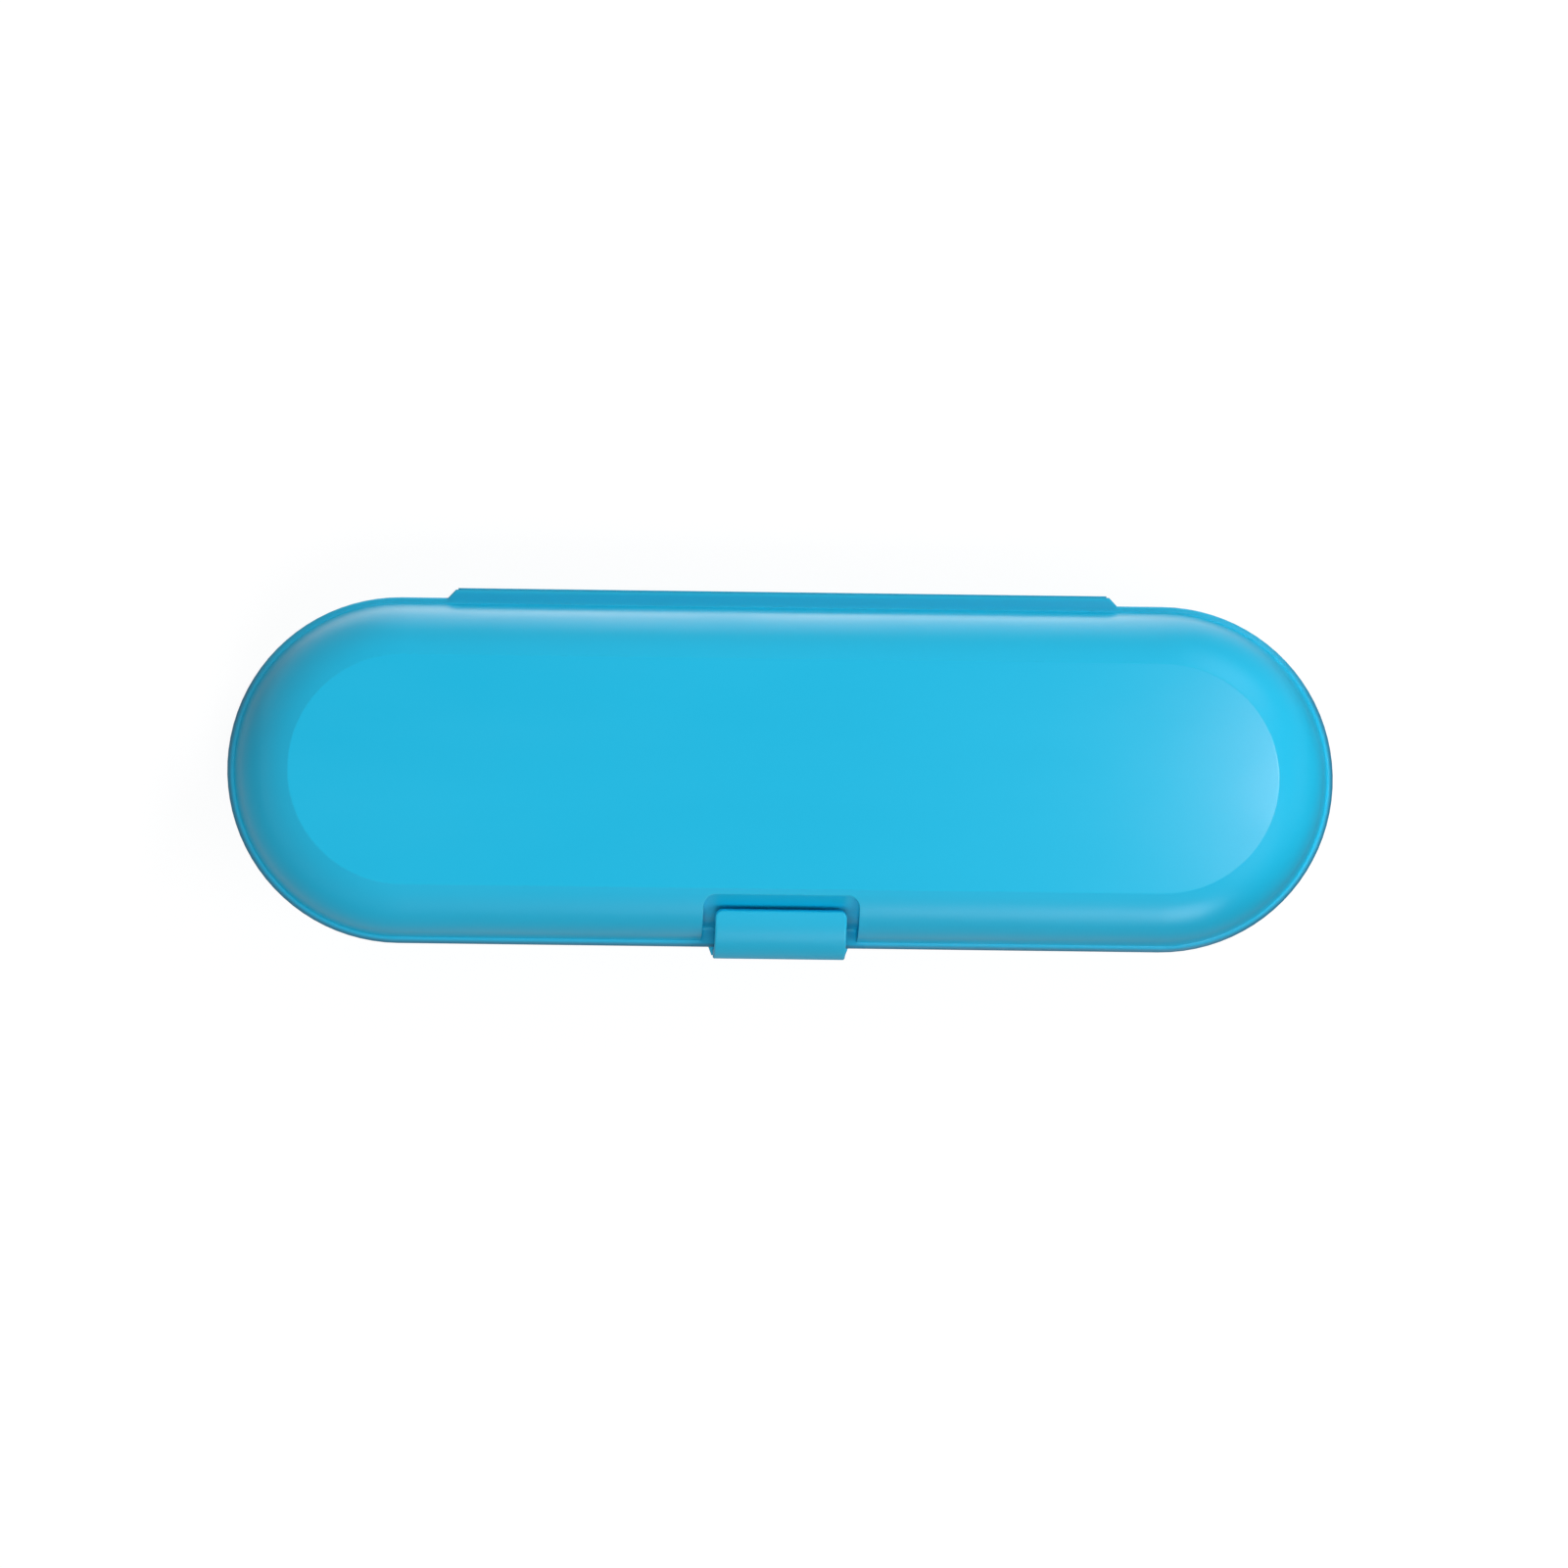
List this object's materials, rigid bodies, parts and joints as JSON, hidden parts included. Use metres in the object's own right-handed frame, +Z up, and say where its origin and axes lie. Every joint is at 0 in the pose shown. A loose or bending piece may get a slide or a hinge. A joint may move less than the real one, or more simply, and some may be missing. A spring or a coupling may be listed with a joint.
{
  "type": "toothbrush case",
  "caption": "Pill-shaped plastic travel case for a toothbrush handle and spare heads: hinged lid, snap latch, inner cradles and pegs.",
  "frame": {"origin": "middle of the flat underside, on the surface that the shut case rests on", "axes": "+X along the case's length, +Y from the latch at the front to the hinge at the back, +Z up through the lid"},
  "size_m": [0.215, 0.0716, 0.04],
  "materials": {
    "case_plastic": "satin moulded polypropylene, slightly milky blue",
    "latch_plastic": "satin moulded polypropylene, slightly milky blue",
    "hinge_plastic": "thin polypropylene film, paler where it folds",
    "insert_plastic": "satin moulded polypropylene, slightly milky blue"
  },
  "bodies": {
    "base": {"base_shell": "case_plastic", "lid_hinge_film": "hinge_plastic", "latch_hinge_film": "hinge_plastic", "handle_saddle_tail": "insert_plastic", "handle_saddle_middle": "insert_plastic", "handle_saddle_neck": "insert_plastic", "head_peg_front": "insert_plastic", "head_peg_back": "insert_plastic", "head_clip_front": "insert_plastic", "head_clip_back": "insert_plastic"},
    "lid": {"lid_shell": "case_plastic", "hold_down_tail": "insert_plastic", "hold_down_neck": "insert_plastic"},
    "latch": {"latch_flap": "latch_plastic"}
  },
  "joints": [
    {"name": "lid_hinge", "type": "hinge", "parent": "base", "child": "lid", "pos_m": [0, 0.03535, 0.022], "axis": [-1, 0, 0], "range_deg": [0, 178], "deforming": ["lid_hinge_film"]},
    {"name": "latch_hinge", "type": "hinge", "parent": "base", "child": "latch", "pos_m": [0, -0.03535, 0.022], "axis": [1, 0, 0], "range_deg": [0, 120], "deforming": ["latch_hinge_film"]}
  ]
}
